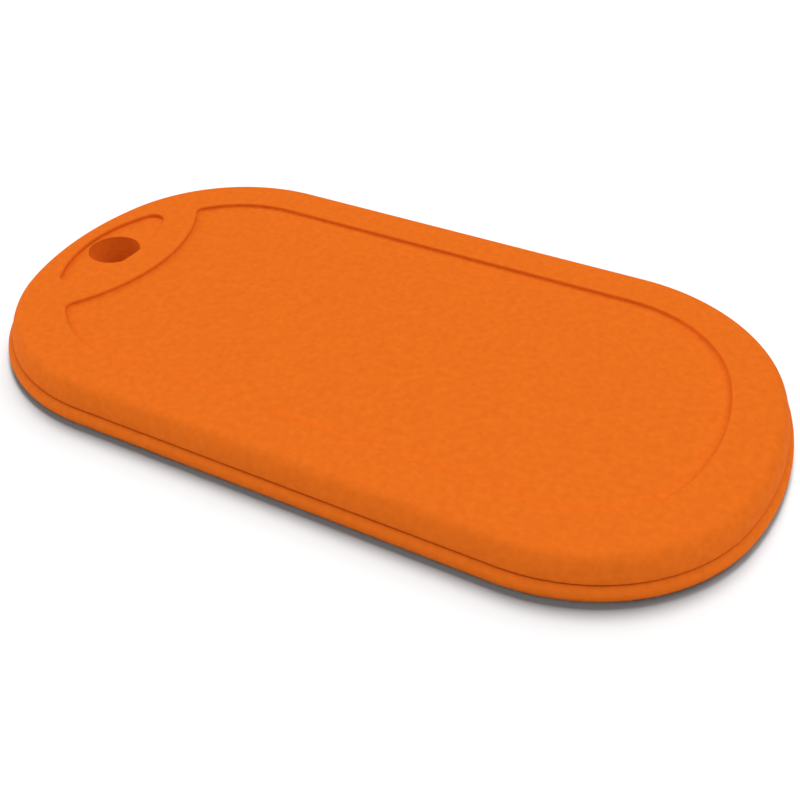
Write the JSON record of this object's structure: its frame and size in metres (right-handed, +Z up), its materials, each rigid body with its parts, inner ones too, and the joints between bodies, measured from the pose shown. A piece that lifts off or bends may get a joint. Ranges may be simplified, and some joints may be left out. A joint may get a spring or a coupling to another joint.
{
  "type": "dog tag",
  "caption": "Flat oblong moulded plastic tag with rounded ends, a rounded rim, a shallow label recess and a ring hole in a small pocket near one end.",
  "frame": {"origin": "middle of the flat underside, on the surface that the tag lies on", "axes": "+X along the tag, away from the ring hole; +Y across the tag; +Z up, out of the face with the label recess"},
  "size_m": [0.05, 0.028, 0.0025],
  "materials": {
    "orange_plastic": "matte"
  },
  "bodies": {
    "root": {"base_shell": "orange_plastic", "top_shell": "orange_plastic"}
  },
  "joints": []
}
